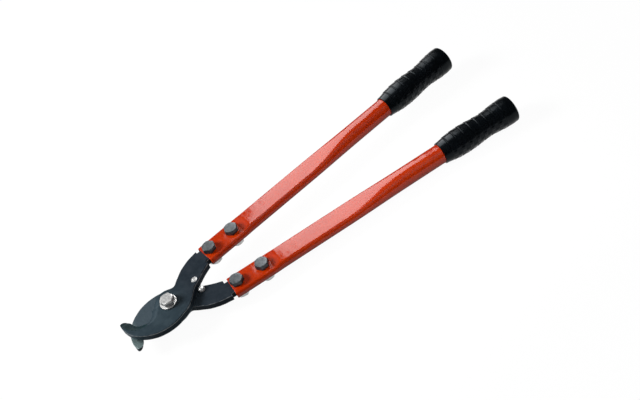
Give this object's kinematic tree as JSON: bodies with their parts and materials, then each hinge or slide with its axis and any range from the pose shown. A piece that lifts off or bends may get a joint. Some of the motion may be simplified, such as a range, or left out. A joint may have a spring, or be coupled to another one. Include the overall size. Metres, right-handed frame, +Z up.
{
  "type": "bolt cutters",
  "caption": "Two-handed cutters with overlapping hooked jaws on a bolted pivot, stop pins, and orange tube handles with black grips.",
  "frame": {"origin": "on the pivot axis, at the end face of the pivot bolt, which the tool stands on", "axes": "+X towards the grips along the middle line between the closed handles, +Y towards the upper handle, +Z up along the pivot axis, square to the plane the tool works in"},
  "size_m": [0.6094, 0.1896, 0.0516],
  "materials": {
    "forged_steel": "dark slate-grey phosphated forging, ground bevels behind the cutting edges",
    "zinc_steel": "bright zinc-plated steel",
    "grey_steel": "dull grey plated bolt heads",
    "orange_enamel": "smooth glossy orange-red enamel on steel tube",
    "black_rubber": "satin black moulded sleeve with shallow turned rings"
  },
  "bodies": {
    "lower_half": {"lower_jaw": "forged_steel", "lower_stop_pin": "zinc_steel", "lower_tube": "orange_enamel", "lower_grip": "black_rubber", "lower_bolt_near": "grey_steel", "lower_bolt_far": "grey_steel", "lower_nut_near": "zinc_steel", "lower_nut_far": "zinc_steel", "pivot_bolt": "zinc_steel", "pivot_nut": "zinc_steel", "pivot_washer_top": "zinc_steel", "pivot_washer_bottom": "zinc_steel"},
    "upper_half": {"upper_jaw": "forged_steel", "upper_stop_pin": "zinc_steel", "upper_tube": "orange_enamel", "upper_grip": "black_rubber", "upper_bolt_near": "grey_steel", "upper_bolt_far": "grey_steel", "upper_nut_near": "zinc_steel", "upper_nut_far": "zinc_steel"}
  },
  "joints": [
    {"name": "pivot", "type": "hinge", "parent": "lower_half", "child": "upper_half", "pos_m": [0, 0, 0.0261], "axis": [0, 0, 1], "range_deg": [0, 60]}
  ]
}
